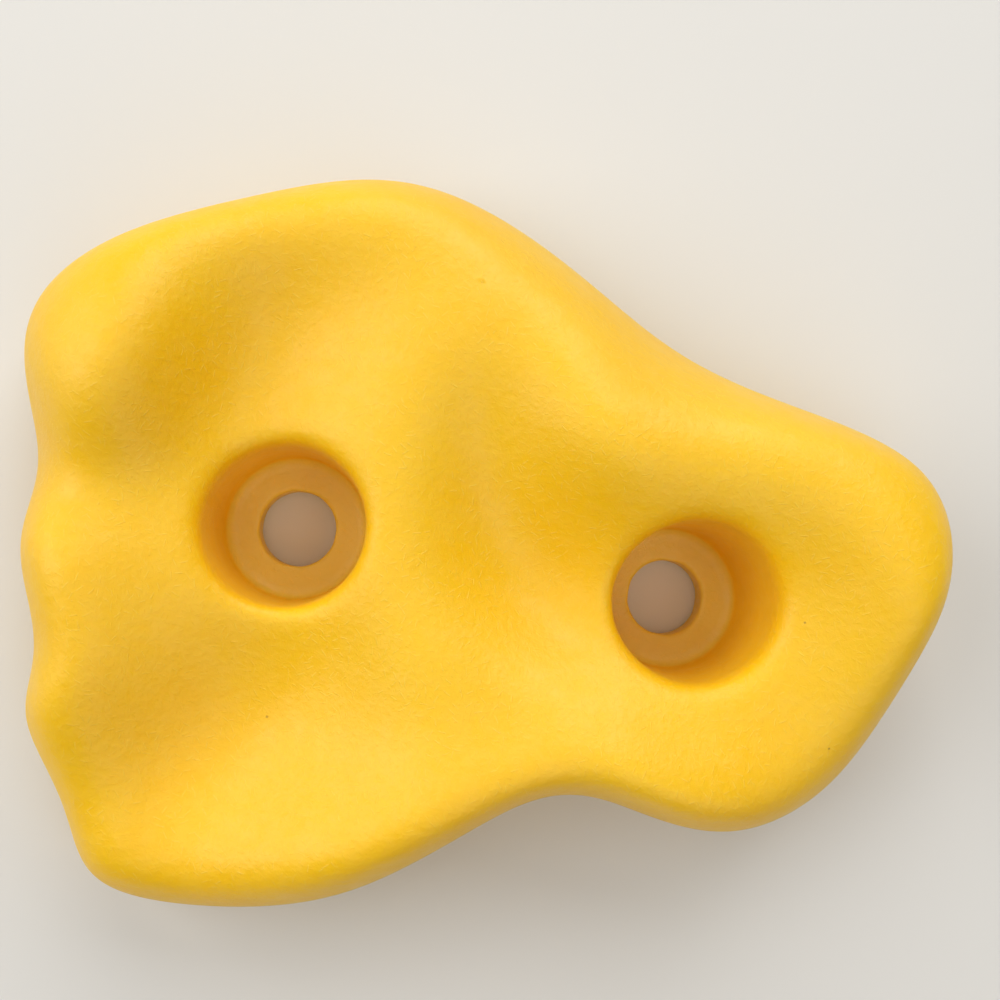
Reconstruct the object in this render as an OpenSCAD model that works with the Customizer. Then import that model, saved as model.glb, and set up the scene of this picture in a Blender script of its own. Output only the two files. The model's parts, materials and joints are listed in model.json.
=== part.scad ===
// Climbing hold: a moulded plastic grip for a child's climbing wall.
// Two counterbored bolt holes go right through it, and the back is hollow and ribbed.
// Units are millimetres. The flat back lies on Z = 0 and +Z points away from the wall.
// The origin is midway between the bolt holes, and +X runs from the wide end's hole to the nose's.

/* [Bolt holes] */
// Distance between the two bolt holes
bolt_spacing = 55; // [54:0.5:56]
// Diameter of a bolt hole, which passes an M10 bolt
bolt_hole_d = 11; // [10.5:0.1:12]
// Diameter of the round seat that takes the bolt's head and washer
seat_d = 20.6; // [20.2:0.1:21.4]
// Length of the truly round part of the seat
seat_length = 6; // [4:0.5:8]
// Thickness of plastic under the bolt's head
seat_floor = 4.5; // [3.5:0.5:6]
// Draft of the socket's wall above its seat, in degrees
socket_draft = 2; // [1:0.5:3]

/* [Body] */
// Height of the face before its ridges and hollows are added
face_height = 26; // [24:0.5:30]
// Usual width of the rounded shoulder, from the outline in to the face
shoulder_w = 11; // [9:0.5:14]
// Squareness of the shoulder, where 2 is a round
shoulder_power = 2.4; // [2:0.1:3]
// Thickness of the moulded wall
wall = 4; // [3:0.5:5]

/* [Back] */
// Thickness of a stiffening rib
rib_t = 2.6; // [2:0.2:4]
// Distance from the wall's plane to the ribs' edges
rib_recess = 1.2; // [0.5:0.1:3]
// Thickness of plastic round each bolt socket
boss_wall = 3.4; // [3:0.2:5]

/* [Hidden] */
$fn = 64;

// Points round the outline, and rings of points from the shoulder to the middle of the face.
// The cavity's points start half a step round, so that no edge of it falls on an edge of the base.
around = 120;
face_rows = 16;
cavity_around = around * 2 / 3;
cavity_rows = 9;
cavity_start = 0.5;

overlap = 1;      // how far a cutter runs past what it cuts
tall = 60;        // longer than the hold is high
wide = 160;       // longer than the hold is wide
middle = [-2, 1]; // the point that the rings close on

bolts = [[-bolt_spacing / 2, 0], [bolt_spacing / 2, 0]];

// The base outline, one mark for each corner, bulge or waist. A smooth curve passes close to them all.
// Each mark is [x, y, share of the shoulder's width], as the shoulder is tight in some places and slack
// in others.
outline_marks = [
    [63, 11, 0.7],    // tip of the nose
    [57, 26, 0.7],    // far corner of the nose
    [37, 31, 1],      // far waist
    [20, 36, 1.3],    // slope up to the far side
    [2, 46, 1.4],     // far shoulder
    [-20, 52, 1],     // crown of the far side
    [-42, 44, 0.9],   // slope down to the knob
    [-62, 32, 0.8],   // far corner of the knob
    [-69, 18, 1],     // end of the knob
    [-63, 3, 1.1],    // notch below the knob
    [-64, -9, 0.9],   // first finger bulge
    [-58, -22, 1.1],  // notch between the finger bulges
    [-59, -31, 0.9],  // second finger bulge
    [-51, -42, 1.1],  // notch above the near corner
    [-46, -52, 1.2],  // near corner, wide end
    [-32, -54, 1.2],  // near corner, near side
    [-9, -48, 0.8],   // near flank
    [9, -32, 0.7],    // near waist
    [21, -29, 0.7],   // near waist, nose side
    [38, -32, 0.7],   // near side of the nose
    [54, -22, 1],     // near corner of the nose
    [60, -4, 0.9]     // end of the nose
];

// Ridges of the face. Each is a half-width and a chain of points: [x, y, height above the face].
ridges = [
    // Knob at the corner of the wide end
    [10, [[-55, 3, 3], [-51, 11, 9], [-50, 18, 11], [-51, 27, 5], [-46, 35, 3]]],
    // Finger swellings along the wide end
    [8, [[-57, -4, 3], [-53, -8, 5], [-51, -15, 3], [-49, -21, 3], [-48, -28, 5]]],
    // Rim along the far side
    [8, [[-45, 35, 2], [-36, 37, 2], [-25, 41, 3], [-14, 42, 2]]],
    // Broad ridge from the far side to the near side, between the bolts
    [9, [[-11, 38, 2], [-11, 28, 4], [-13, 16, 4], [-11, 4, 3], [-11, -7, 4], [-6, -18, 3], [0, -28, 3]]],
    // Flat on the near side of the valley
    [8, [[-4, -9, 3], [4, -12, 4], [13, -16, 5], [24, -19, 2]]],
    // Shoulder on the far side, and the rim round the nose
    [10, [[-3, 35, 5], [4, 26, 6], [9, 16, 9], [18, 16, 6], [31, 20, 6], [43, 18, 6], [54, 11, 8],
        [56, -1, 7], [50, -13, 1]]],
    // Rim along the near side
    [8, [[-22, -45, 2], [-13, -41, 4], [-5, -36, 5], [3, -31, 6], [11, -28, 5], [20, -26, 6],
        [30, -26, 5], [42, -23, 2]]]
];

// Hollows of the face, listed the same way, with heights below it
hollows = [
    // Groove between the knob and the face
    [9, [[-30, 34, -1], [-34, 24, -4], [-36, 12, -6], [-38, 2, -4]]],
    // Notch on the near side of the knob
    [6, [[-66, 2, -4], [-57, 1, -3], [-47, 0, -2]]],
    // Hollow across the near corner of the wide end
    [12, [[-38, -46, -5], [-34, -36, -8], [-27, -24, -9], [-18, -13, -3]]],
    // Valley down the middle of the face, to the hollow beside the nose's bolt
    [11, [[-3, 32, -1], [-4, 21, -3], [-3, 11, -4], [1, 2, -5], [7, -5, -8], [15, -9, -8]]]
];

function wrap(i, n) = (i + n) % n;

// Control points whose spline passes close to the marks
function control_points(marks) = let (n = len(marks)) [
    for (i = [0:n - 1])
        marks[i] - (marks[wrap(i - 1, n)] - 2 * marks[i] + marks[wrap(i + 1, n)]) / 6
];

// The closed cubic B-spline of control points p, at position t along them
function spline_at(p, t) = let (n = len(p), i = floor(t), f = t - i) (
    pow(1 - f, 3) * p[wrap(i - 1, n)]
    + (3 * pow(f, 3) - 6 * f * f + 4) * p[wrap(i, n)]
    + (-3 * pow(f, 3) + 3 * f * f + 3 * f + 1) * p[wrap(i + 1, n)]
    + pow(f, 3) * p[wrap(i + 2, n)]
) / 6;

outline_control = control_points(outline_marks);
span = len(outline_control);

// Places along the spline of evenly spaced points, the first of them a share of a step from its start
function places(count, start) = [for (i = [0:count - 1]) (i + start) * span / count];

// Distance from the middle to the outline's tangent line at a place along it
nudge = 0.01;
function reach_at(t) = let (
    here = spline_at(outline_control, t),
    along = spline_at(outline_control, t + nudge) - here
) ((here.x - middle.x) * along.y - (here.y - middle.y) * along.x) / norm([along.x, along.y]);

// Round swells, spaced evenly along each chain so that together they make one smooth ridge or hollow.
// Each is [x, y, height, half-width].
swell_spacing = 0.6; // share of the half-width

swells = [
    for (chain = concat(ridges, hollows), i = [1:len(chain[1]) - 1]) let (
        from = chain[1][i - 1],
        run = chain[1][i] - from,
        length = norm([run.x, run.y]),
        count = ceil(length / (swell_spacing * chain[0]))
    ) for (k = [0:count - 1]) let (spot = from + run * (k + 0.5) / count)
        [spot.x, spot.y, spot.z * length / count / (chain[0] * sqrt(PI)), chain[0]]
];

swell_heights = [for (s = swells) s.z];

// Height of the face at a point, before the shoulder rounds it down
function face_z(q) = face_height + swell_heights
    * [for (s = swells) exp(-(pow(q.x - s.x, 2) + pow(q.y - s.y, 2)) / pow(s[3], 2))];

// Rise of the shoulder, from 0 at its foot to 1 at the face, for an inset from the outline
function shoulder(inset, width) = let (out = 1 - max(0, min(1, inset / width)))
    pow(1 - pow(out, shoulder_power), 1 / shoulder_power);

// Places of the rings on the shoulder, as shares of its width, closer where it is steep
face_steps = [0, 0.01, 0.035, 0.075, 0.13, 0.2, 0.29, 0.4, 0.53, 0.68, 0.84, 1];
cavity_steps = [0, 0.03, 0.11, 0.26, 0.48, 0.75, 1];

// One ring of surface points. It lies on the shoulder at the place called rise, from 0 at its foot to 1
// at the face, and is shrunk towards the middle by the share called closing. The surface is a skin's
// thickness inside the outer one, and its foot is at the height called foot.
function ring(edge, reach, rise, closing, skin, foot) = [
    for (i = [0:len(edge) - 1]) let (
        width = shoulder_w * edge[i].z - skin,
        share = (1 - (skin + rise * width) / reach[i]) * closing,
        q = middle + share * ([edge[i].x, edge[i].y] - middle),
        depth = (1 - share) * reach[i] - skin,
        top = face_z(q) - skin
    ) [q.x, q.y, foot + (top - foot) * shoulder(depth, width)]
];

// A closed solid under the face, built from rings that run up the shoulder and across to the middle
module face_solid(count, start, steps, rows, skin, foot) {
    edge = [for (t = places(count, start)) spline_at(outline_control, t)];
    reach = [for (t = places(count, start)) reach_at(t)];
    rings = [
        for (s = steps) ring(edge, reach, s, 1, skin, foot),
        for (r = [1:rows - 1]) ring(edge, reach, 1, 1 - r / rows, skin, foot)
    ];
    last = (len(rings) - 1) * count;
    peak = last + count;
    points = concat(
        [for (r = rings) each r],
        [[middle.x, middle.y, face_z(middle) - skin], [middle.x, middle.y, foot]]
    );
    faces = [
        for (r = [0:len(rings) - 2], i = [0:count - 1]) let (
            j = (i + 1) % count,
            low = r * count,
            high = low + count
        ) each [[low + i, high + i, high + j], [low + i, high + j, low + j]],
        for (i = [0:count - 1]) [last + i, peak, last + (i + 1) % count],
        for (i = [0:count - 1]) [i, (i + 1) % count, peak + 1]
    ];
    polyhedron(points, faces);
}

module outer_body() face_solid(around, 0, face_steps, face_rows, 0, 0);

module cavity()
    face_solid(cavity_around, cavity_start, cavity_steps, cavity_rows, wall, -overlap);

module at_bolts() for (b = bolts) translate([b.x, b.y, 0]) children();

// Posts round the sockets, which carry the bolts' load to the wall
module bosses() at_bolts() translate([0, 0, -2 * overlap])
    cylinder(d = seat_d + 2 * boss_wall, h = tall);

// A rib across the whole cavity, through a point and at an angle
module rib(at, angle) translate([at.x, at.y, rib_recess + tall / 2])
    rotate(angle) cube([wide, rib_t, tall], center = true);

module ribs() {
    rib([0, 0], 0);
    rib([0, 0], 90);
    rib(bolts[0], 90);
    rib(bolts[1], 90);
}

// A round hole for the bolt, a round seat for its head, and a drafted opening above
module sockets() at_bolts() {
    translate([0, 0, -overlap]) cylinder(d = bolt_hole_d, h = seat_floor + 2 * overlap);
    translate([0, 0, seat_floor]) cylinder(d = seat_d, h = seat_length);
    translate([0, 0, seat_floor + seat_length])
        cylinder(r1 = seat_d / 2, r2 = seat_d / 2 + tall * tan(socket_draft), h = tall);
}

module hold() color("gold") difference() {
    outer_body();
    difference() {
        cavity();
        bosses();
        ribs();
    }
    sockets();
}

hold();
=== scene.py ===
import json
import math

import bmesh
import bpy
import numpy as np
from mathutils import Matrix, Vector
from mathutils.bvhtree import BVHTree


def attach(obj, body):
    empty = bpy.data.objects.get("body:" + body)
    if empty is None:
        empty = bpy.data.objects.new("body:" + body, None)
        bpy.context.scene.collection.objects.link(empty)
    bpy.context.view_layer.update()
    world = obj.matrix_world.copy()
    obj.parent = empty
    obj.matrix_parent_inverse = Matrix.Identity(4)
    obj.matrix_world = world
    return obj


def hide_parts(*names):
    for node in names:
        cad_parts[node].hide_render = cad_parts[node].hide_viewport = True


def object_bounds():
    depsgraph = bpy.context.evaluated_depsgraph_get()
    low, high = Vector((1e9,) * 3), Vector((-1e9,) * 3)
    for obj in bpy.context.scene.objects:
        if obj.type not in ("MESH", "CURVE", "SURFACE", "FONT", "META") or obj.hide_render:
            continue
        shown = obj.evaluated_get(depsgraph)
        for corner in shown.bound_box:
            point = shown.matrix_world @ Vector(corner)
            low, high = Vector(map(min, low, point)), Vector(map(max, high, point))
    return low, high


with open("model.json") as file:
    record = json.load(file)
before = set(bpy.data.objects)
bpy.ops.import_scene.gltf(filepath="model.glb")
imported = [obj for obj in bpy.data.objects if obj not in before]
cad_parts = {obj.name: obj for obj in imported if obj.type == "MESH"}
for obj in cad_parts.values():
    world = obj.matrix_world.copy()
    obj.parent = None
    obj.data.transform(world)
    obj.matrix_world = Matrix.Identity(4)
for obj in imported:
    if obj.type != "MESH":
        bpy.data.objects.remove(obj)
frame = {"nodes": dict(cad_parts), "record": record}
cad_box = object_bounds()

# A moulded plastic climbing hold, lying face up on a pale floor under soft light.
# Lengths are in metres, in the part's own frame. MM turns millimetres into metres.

MM = 0.001
UP = Vector((0, 0, 1))

# ---------------------------------------------------------------- Mesh

VOXEL = 0.5 * MM  # size of the fine mesh's squares
WELD = 0.001 * MM  # corners closer than this are one corner
MAX_TRIANGLES = 190_000

FACE_ROUNDS = 70  # rounds of smoothing that melt the face's facets and round the sockets' mouths
EDGE_ROUNDS = 3  # rounds that take the raggedness off every edge
CORNER_ROUNDS = 10  # rounds that round the corner between a socket's wall and its floor
STEP = 0.5  # share of the way to its neighbours' average that a point moves in a round
MOUTH_REACH = 7  # squares down a socket's wall that its mouth's rounding reaches
SOFTEN_ROUNDS = 5  # rounds that fade the edge of a smoothed area
NO_WEIGHT = 0.001  # a point with less weight than this wasn't smoothed

BASE_BAND = 1.2 * MM  # height over which the wall's foot is held down while it is smoothed
SNAP = 0.4 * MM  # points this near a true round or flat surface are put on it
CORNER_R = 1.6 * MM  # reach of the rounded corner at the foot of a socket's wall
EDGE_KEEP = 0.7 * MM  # distance from a sharp edge within which nothing is snapped
SOCKET_DRAFT = math.radians(2)  # lean of a socket's wall above its seat, as in the CAD model


def sockets_of(record):
    """The two bolt sockets, read from the record's mounts: axis, radii and heights."""
    mounts = {m["name"]: m for m in record["mounts"]}
    found = []
    for end in ("wide_end", "nose"):
        bore = mounts[end + "_bore"]
        seat = mounts[end + "_seat"]
        found.append({
            "axis": np.array(bore["pos_m"][:2]),
            "bore_r": bore["dims"]["r_mm"] * MM,
            "seat_r": seat["dims"]["r_mm"] * MM,
            "floor": bore["pos_m"][2] + bore["dims"]["length_mm"] * MM / 2,
            "seat_top": seat["pos_m"][2] + seat["dims"]["length_mm"] * MM / 2,
        })
    return found


def wall_radius(socket, z):
    """The radius of a socket's wall at some heights: that of the seat, opening out above it."""
    return socket["seat_r"] + np.maximum(z - socket["seat_top"], 0) * math.tan(SOCKET_DRAFT)


def welded_copy(node, name):
    """A new object whose mesh is the CAD node's, with the corners of its faces joined."""
    mesh = bpy.data.meshes.new(name)
    bm = bmesh.new()
    bm.from_mesh(node.data)
    bmesh.ops.remove_doubles(bm, verts=bm.verts, dist=WELD)
    bm.to_mesh(mesh)
    bm.free()
    piece = bpy.data.objects.new(name, mesh)
    bpy.context.scene.collection.objects.link(piece)
    return piece


def apply_modifier(piece, kind, **settings):
    """Puts a modifier's result into the piece's own mesh."""
    modifier = piece.modifiers.new(kind, kind)
    for key, value in settings.items():
        setattr(modifier, key, value)
    result = piece.evaluated_get(bpy.context.evaluated_depsgraph_get())
    mesh = bpy.data.meshes.new_from_object(result)
    piece.modifiers.clear()
    piece.data = mesh


def rows_of(items, what, size, kind):
    """One attribute of a mesh's vertices or edges as rows of numbers."""
    values = np.empty(len(items) * size, kind)
    items.foreach_get(what, values)
    return values.reshape(-1, size)


def neighbour_sum(values, edges):
    """The sum, at each point, of its neighbours' values."""
    a, b = edges.T
    n = len(values)
    return np.stack([
        np.bincount(a, column[b], n) + np.bincount(b, column[a], n) for column in values.T
    ], axis=1)


def relax(points, edges, weight, rounds):
    """Moves each point towards its neighbours' average, by its weight, again and again."""
    count = np.maximum(neighbour_sum(np.ones((len(points), 1)), edges), 1)
    for _ in range(rounds):
        points = points + STEP * weight * (neighbour_sum(points, edges) / count - points)
    return points


def grown(mask, edges, rings):
    """A mask widened by some rings of neighbours."""
    for _ in range(rings):
        mask = mask | (neighbour_sum(mask[:, None].astype(float), edges)[:, 0] > 0)
    return mask


def softened(mask, edges):
    """A mask as weights that fade out at its border."""
    return relax(mask[:, None].astype(float), edges, 1.0, SOFTEN_ROUNDS)


def sees_sky(piece, points, normals):
    """True for each point with nothing above it: the face, the outer wall and the sockets, not the back."""
    tree = BVHTree.FromObject(piece, bpy.context.evaluated_depsgraph_get())
    starts = points + normals * SNAP + np.array([0, 0, WELD])
    return np.array([tree.ray_cast(Vector(s), UP)[0] is None for s in starts])


def socket_masks(points, sockets):
    """Which points lie in a socket, and which in the corner at the foot of a socket's wall."""
    in_socket = np.zeros(len(points), bool)
    in_corner = np.zeros(len(points), bool)
    z = points[:, 2]
    for socket in sockets:
        radius = np.linalg.norm(points[:, :2] - socket["axis"], axis=1)
        in_socket |= radius < wall_radius(socket, z) + SNAP
        in_corner |= np.hypot(radius - socket["seat_r"], z - socket["floor"]) < CORNER_R
    return in_socket, in_corner


def snap_socket(points, socket, free):
    """Puts the free points of a socket's wall, floor and bore exactly on their true surfaces."""
    out = points[:, :2] - socket["axis"]
    radius = np.maximum(np.linalg.norm(out, axis=1), WELD)
    z = points[:, 2]
    wall_r = wall_radius(socket, z)
    on_wall = free & (abs(radius - wall_r) < SNAP) & (z > socket["floor"] + CORNER_R)
    on_bore = free & (abs(radius - socket["bore_r"]) < SNAP)
    on_bore &= (z > EDGE_KEEP) & (z < socket["floor"] - EDGE_KEEP)
    on_floor = free & (abs(z - socket["floor"]) < SNAP)
    on_floor &= (radius > socket["bore_r"] + EDGE_KEEP) & (radius < socket["seat_r"] - CORNER_R)
    true_r = np.where(on_wall, wall_r, np.where(on_bore, socket["bore_r"], radius))
    points[:, :2] = socket["axis"] + out * (true_r / radius)[:, None]
    points[on_floor, 2] = socket["floor"]


def smoothed(points, edges, open_above, sockets):
    """The fine mesh's points, smoothed, with the sockets' true surfaces kept."""
    in_socket, in_corner = socket_masks(points, sockets)

    # The face and the outer wall, with the sockets' mouths, are smoothed apart from the back
    melted = grown(open_above & ~in_socket, edges, MOUTH_REACH) & open_above
    outer_edges = edges[open_above[edges[:, 0]] & open_above[edges[:, 1]]]
    weight = softened(melted, outer_edges)
    lift = np.clip(points[:, 2:] / BASE_BAND, 0, 1)
    weight = weight * np.hstack([np.ones_like(lift), np.ones_like(lift), lift])
    weight[~open_above] = 0
    points = relax(points, outer_edges, weight, FACE_ROUNDS)

    points = relax(points, edges, softened(in_corner & open_above, edges), CORNER_ROUNDS)
    points = relax(points, edges, 1.0, EDGE_ROUNDS)
    free = open_above & (weight[:, 0] < NO_WEIGHT)
    for socket in sockets:
        snap_socket(points, socket, free)
    points[:, 2] = np.maximum(points[:, 2], 0)
    return points


def fine_moulding(node, sockets):
    """The hold as one smooth moulding, made from the CAD node's mesh."""
    piece = welded_copy(node, "hold_moulding")
    apply_modifier(piece, "REMESH", mode="VOXEL", voxel_size=VOXEL)
    vertices = piece.data.vertices
    edges = rows_of(piece.data.edges, "vertices", 2, np.int32)
    points = rows_of(vertices, "co", 3, np.float32).astype(float)
    normals = rows_of(vertices, "normal", 3, np.float32).astype(float)
    points = smoothed(points, edges, sees_sky(piece, points, normals), sockets)
    vertices.foreach_set("co", points.astype(np.float32).ravel())
    piece.data.update()

    triangles = 2 * len(piece.data.polygons)
    if triangles > MAX_TRIANGLES:
        apply_modifier(piece, "DECIMATE", ratio=MAX_TRIANGLES / triangles)
    piece.data.shade_smooth()
    return piece


# ---------------------------------------------------------------- Material

YELLOW = (0.94, 0.56, 0.004, 1)
DEEP_YELLOW = (0.93, 0.53, 0.002, 1)
MOTTLE_YELLOW = (0.94, 0.57, 0.030, 1)
# painted sky reflection: the paler tan that the sockets' floors are painted
SEAT_SHEEN_YELLOW = (0.82, 0.64, 0.10, 1)
MARK_YELLOW = (0.97, 0.66, 0.08, 1)
SPECK_BROWN = (0.25, 0.12, 0.01, 1)
GRAIN_DEPTH = 0.06 * MM  # height in the bump for a value of 1


class NodeMaterial:
    """A new node material, with short ways to add nodes and join them."""

    def __init__(self, name):
        self.material = bpy.data.materials.new(name)
        self.material.use_nodes = True
        self.tree = self.material.node_tree
        self.shader = self.tree.nodes["Principled BSDF"].inputs

    def add(self, kind, **settings):
        node = self.tree.nodes.new("ShaderNode" + kind)
        for key, value in settings.items():
            setattr(node, key, value)
        return node

    def put(self, value, slot):
        """Joins a node's output to a slot, or sets the slot to a plain value."""
        if isinstance(value, bpy.types.NodeSocket):
            self.tree.links.new(value, slot)
        else:
            slot.default_value = value

    def maths(self, kind, a, b):
        node = self.add("Math", operation=kind)
        self.put(a, node.inputs[0])
        self.put(b, node.inputs[1])
        return node.outputs["Value"]

    def vector(self, kind, *values, output="Vector"):
        node = self.add("VectorMath", operation=kind)
        for value, slot in zip(values, node.inputs):
            self.put(value, slot)
        return node.outputs[output]

    def spread(self, value, low, high, to_low, to_high):
        """Maps low..high smoothly to to_low..to_high."""
        node = self.add("MapRange", interpolation_type="SMOOTHSTEP")
        self.put(value, node.inputs["Value"])
        for slot, number in zip(("From Min", "From Max", "To Min", "To Max"), (low, high, to_low, to_high)):
            self.put(number, node.inputs[slot])
        return node.outputs["Result"]

    def mixed(self, share, a, b):
        """Colour a with a share of colour b."""
        node = self.add("Mix", data_type="RGBA")
        self.put(share, node.inputs["Factor"])
        self.put(a, node.inputs[6])
        self.put(b, node.inputs[7])
        return node.outputs[2]

    def noise(self, where, size, detail):
        node = self.add("TexNoise")
        self.put(where, node.inputs["Vector"])
        self.put(1 / size, node.inputs["Scale"])
        self.put(detail, node.inputs["Detail"])
        return node.outputs["Fac"]

    def cells(self, where, size):
        """Random cells: the outputs hold each cell's colour and centre, and the distance to it."""
        node = self.add("TexVoronoi")
        self.put(where, node.inputs["Vector"])
        self.put(1 / size, node.inputs["Scale"])
        return node.outputs


def short_marks(kit, where, normal, spacing, length, width):
    """Short straight marks in every direction, one to a cell: 1 on a mark and 0 off it."""

    def along_surface(way):
        return kit.vector("SUBTRACT", way, kit.vector("PROJECT", way, normal))

    cells = kit.cells(where, size=spacing)
    from_centre = along_surface(kit.vector("SUBTRACT", where, cells["Position"]))
    leaning = along_surface(kit.vector("SUBTRACT", cells["Color"], (0.5, 0.5, 0.5)))
    along = kit.vector("DOT_PRODUCT", from_centre, kit.vector("NORMALIZE", leaning), output="Value")
    across = kit.vector("SUBTRACT", from_centre, kit.vector("PROJECT", from_centre, leaning))
    away = kit.vector("LENGTH", across, output="Value")
    thin = kit.spread(away, width / 2, width, 1, 0)
    short = kit.spread(kit.maths("ABSOLUTE", along, 0), length / 3, length / 2, 1, 0)
    return kit.maths("MULTIPLY", thin, short)


def rare_specks(kit, where):
    """Rare specks, at the centres of the few cells whose own random number is high."""
    cells = kit.cells(where, size=6 * MM)
    lot = kit.add("SeparateColor")
    kit.put(cells["Color"], lot.inputs["Color"])
    chosen = kit.spread(lot.outputs["Red"], 0.8, 0.82, 0, 1)
    return kit.maths("MULTIPLY", chosen, kit.spread(cells["Distance"], 0.02, 0.045, 1, 0))


def seat_area(kit, where, socket):
    """1 inside a socket's seat as seen from above, and 0 outside it: the mask of the painted sky reflection
    on the sockets' floors.
    """
    flat = kit.vector("MULTIPLY", where, (1, 1, 0))
    away = kit.vector("DISTANCE", flat, (*socket["axis"], 0), output="Value")
    return kit.spread(away, socket["seat_r"] - SNAP, socket["seat_r"], 1, 0)


def plastic(sockets):
    """Satin yellow polyethylene, slightly see-through, with a moulded grain, short light marks and a
    painted sky reflection on the sockets' floors.
    """
    kit = NodeMaterial("yellow_plastic")
    where = kit.add("TexCoord").outputs["Object"]
    normal = kit.add("NewGeometry").outputs["Normal"]

    patches = kit.spread(kit.noise(where, size=7 * MM, detail=2), 0.35, 0.6, 0.2, 1)
    light_marks = short_marks(kit, where, normal, spacing=1.5 * MM, length=1.2 * MM, width=0.1 * MM)
    light_marks = kit.maths("MULTIPLY", light_marks, patches)
    small_marks = short_marks(kit, where, normal, spacing=0.9 * MM, length=0.6 * MM, width=0.08 * MM)

    clouds = kit.spread(kit.noise(where, size=22 * MM, detail=2), 0.3, 0.7, 0, 1)
    mottle = kit.spread(kit.noise(where, size=2.2 * MM, detail=3), 0.35, 0.65, 0, 1)
    seat_sheen = kit.maths("ADD", *[seat_area(kit, where, socket) for socket in sockets])
    colour = kit.mixed(clouds, YELLOW, DEEP_YELLOW)
    for mask, share, tint in (
        (mottle, 0.35, MOTTLE_YELLOW),
        (seat_sheen, 0.7, SEAT_SHEEN_YELLOW),  # painted sky reflection: the sockets' floors are painted paler than the face
        (light_marks, 0.35, MARK_YELLOW),
        (rare_specks(kit, where), 0.7, SPECK_BROWN),
    ):
        colour = kit.mixed(kit.maths("MULTIPLY", mask, share), colour, tint)
    kit.put(colour, kit.shader["Base Color"])

    gloss = kit.spread(kit.noise(where, size=3 * MM, detail=4), 0.3, 0.7, 0.40, 0.50)
    kit.put(kit.maths("ADD", gloss, kit.maths("MULTIPLY", light_marks, 0.08)), kit.shader["Roughness"])
    kit.put(0.1, kit.shader["Subsurface Weight"])
    kit.put((1.0, 0.5, 0.1), kit.shader["Subsurface Radius"])
    kit.put(6 * MM, kit.shader["Subsurface Scale"])
    kit.put(1.5, kit.shader["IOR"])

    grain = kit.maths("MULTIPLY", kit.noise(where, size=1.1 * MM, detail=3), 1.8)
    raised = kit.maths("MULTIPLY", light_marks, 0.35)
    raised = kit.maths("ADD", raised, kit.maths("MULTIPLY", small_marks, 0.2))
    bump = kit.add("Bump")
    kit.put(1.0, bump.inputs["Strength"])
    kit.put(GRAIN_DEPTH, bump.inputs["Distance"])
    kit.put(kit.maths("ADD", grain, raised), bump.inputs["Height"])
    kit.put(bump.outputs["Normal"], kit.shader["Normal"])
    return kit.material


# ---------------------------------------------------------------- Hold

bolt_sockets = sockets_of(frame["record"])
hold = fine_moulding(frame["nodes"]["hold"], bolt_sockets)
hold.data.materials.clear()
hold.data.materials.append(plastic(bolt_sockets))
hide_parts("hold")
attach(hold, "root")

# ---------------------------------------------------------------- Floor, light and camera

FLOOR_SIZE = 1.5
FLOOR_GREY = (0.72, 0.72, 0.70, 1)

PICTURE_ROLL = math.radians(10.6)  # the hold lies turned by this much in the picture
CAMERA_PLACE = Vector((-9.6, -0.8, 176)) * MM
CAMERA_AIM = Vector((1, 9.9, 0)) * MM
CAMERA_LENS = 42

BOX_SIZE = 0.8
BOX_DISTANCE = 0.9
SOFTBOXES = {  # the light's place, clockwise from the picture's top and above the floor, and its power
    "window": (285, 35, 5),
    "top": (15, 35, 6),
    "ceiling": (0, 90, 1.5),
    "fill": (150, 50, 2),
}
WARM_FILL = (0.13, 0.10, 0.065, 1)
PALE_BACKDROP = (0.65, 0.65, 0.63, 1)


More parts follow.
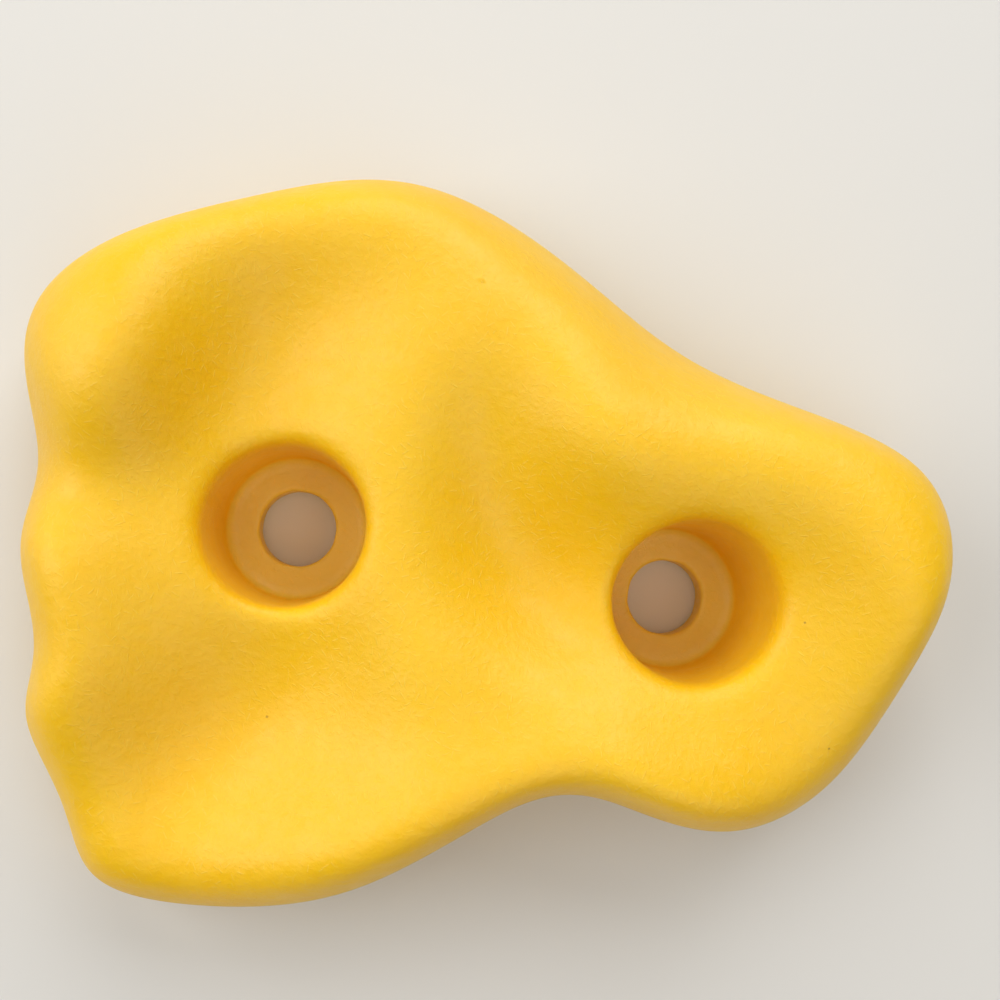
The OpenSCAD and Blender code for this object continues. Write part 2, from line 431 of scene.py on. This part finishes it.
def floor():
    """A wide pale floor at the height of the hold's back."""
    bpy.ops.mesh.primitive_plane_add(size=FLOOR_SIZE, location=(0, 0, cad_box[0].z))
    plane = bpy.context.object
    plane.name = "floor"
    kit = NodeMaterial("pale_floor")
    kit.put(FLOOR_GREY, kit.shader["Base Color"])
    kit.put(0.8, kit.shader["Roughness"])
    plane.data.materials.append(kit.material)


def towards(bearing, height):
    """A direction, from degrees clockwise from the picture's top and degrees above the floor."""
    turn = math.radians(bearing) - PICTURE_ROLL
    rise = math.radians(height)
    return Vector((math.cos(rise) * math.sin(turn), math.cos(rise) * math.cos(turn), math.sin(rise)))


def softbox(name, direction, power):
    """A large square soft light in a direction from the hold, facing it."""
    lamp = bpy.data.lights.new(name, "AREA")
    lamp.size = BOX_SIZE
    lamp.energy = power
    lamp_object = bpy.data.objects.new(name, lamp)
    bpy.context.scene.collection.objects.link(lamp_object)
    lamp_object.location = direction * BOX_DISTANCE
    lamp_object.rotation_euler = (-direction).to_track_quat("-Z", "Y").to_euler()


def sky():
    """A weak warm light from all round, which the camera sees as a plain pale backdrop."""
    world = bpy.data.worlds.new("studio")
    bpy.context.scene.world = world
    world.use_nodes = True
    tree = world.node_tree
    ray = tree.nodes.new("ShaderNodeLightPath")
    colour = tree.nodes.new("ShaderNodeMix")
    colour.data_type = "RGBA"
    tree.links.new(ray.outputs["Is Camera Ray"], colour.inputs["Factor"])
    colour.inputs[6].default_value = WARM_FILL
    colour.inputs[7].default_value = PALE_BACKDROP
    tree.links.new(colour.outputs[2], tree.nodes["Background"].inputs["Color"])


def camera():
    """The camera, almost straight above the hold."""
    lens = bpy.data.cameras.new("camera")
    lens.lens = CAMERA_LENS
    lens.clip_start = 10 * MM
    camera_object = bpy.data.objects.new("camera", lens)
    bpy.context.scene.collection.objects.link(camera_object)
    camera_object.location = CAMERA_PLACE
    back = (CAMERA_PLACE - CAMERA_AIM).normalized()
    up = Matrix.Rotation(PICTURE_ROLL, 3, "Z") @ Vector((0, 1, 0))
    right = up.cross(back).normalized()
    turn = Matrix((right, back.cross(right), back)).transposed()
    camera_object.rotation_euler = turn.to_euler()
    bpy.context.scene.camera = camera_object


floor()
sky()
for name, (bearing, height, power) in SOFTBOXES.items():
    softbox(name, towards(bearing, height), power)
camera()
bpy.context.scene.view_settings.view_transform = "Standard"
